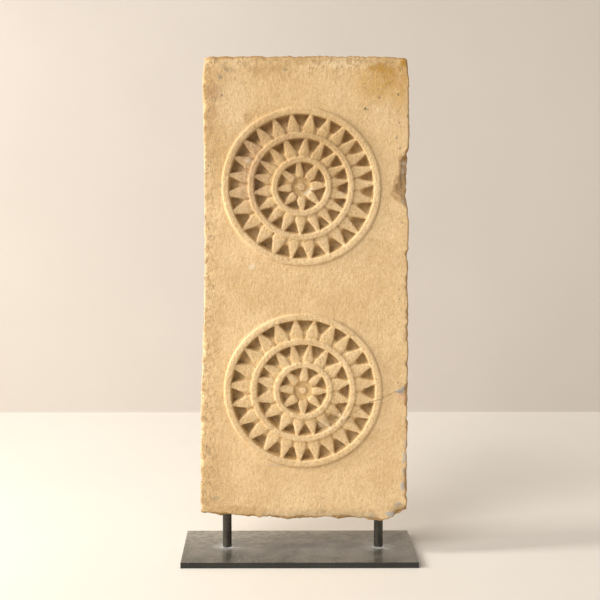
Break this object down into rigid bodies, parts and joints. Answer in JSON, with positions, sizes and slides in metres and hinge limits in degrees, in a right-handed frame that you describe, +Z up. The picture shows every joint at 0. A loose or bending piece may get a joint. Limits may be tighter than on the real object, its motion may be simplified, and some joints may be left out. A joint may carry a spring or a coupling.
{
  "type": "stone relief panel",
  "caption": "Carved sandstone panel with two petalled rosettes in low relief, standing upright on round steel posts and a flat steel base plate.",
  "frame": {"origin": "centre of the base plate's underside, on the surface that it stands on", "axes": "+X to the viewer's right along the panel's width, +Y from the carved face to the back, +Z up; the carved face looks along -Y"},
  "size_m": [0.324, 0.15, 0.6932],
  "materials": {
    "sandstone": "dressed golden sandstone, matt, weathered, with grey mortar repairs",
    "post_steel": "blackened and waxed round steel bar",
    "plate_steel": "hot-rolled steel plate, blackened, waxed, rubbed bright in places"
  },
  "bodies": {
    "root": {"stone_panel": "sandstone", "post_left": "post_steel", "post_right": "post_steel", "base_plate": "plate_steel"}
  },
  "joints": []
}
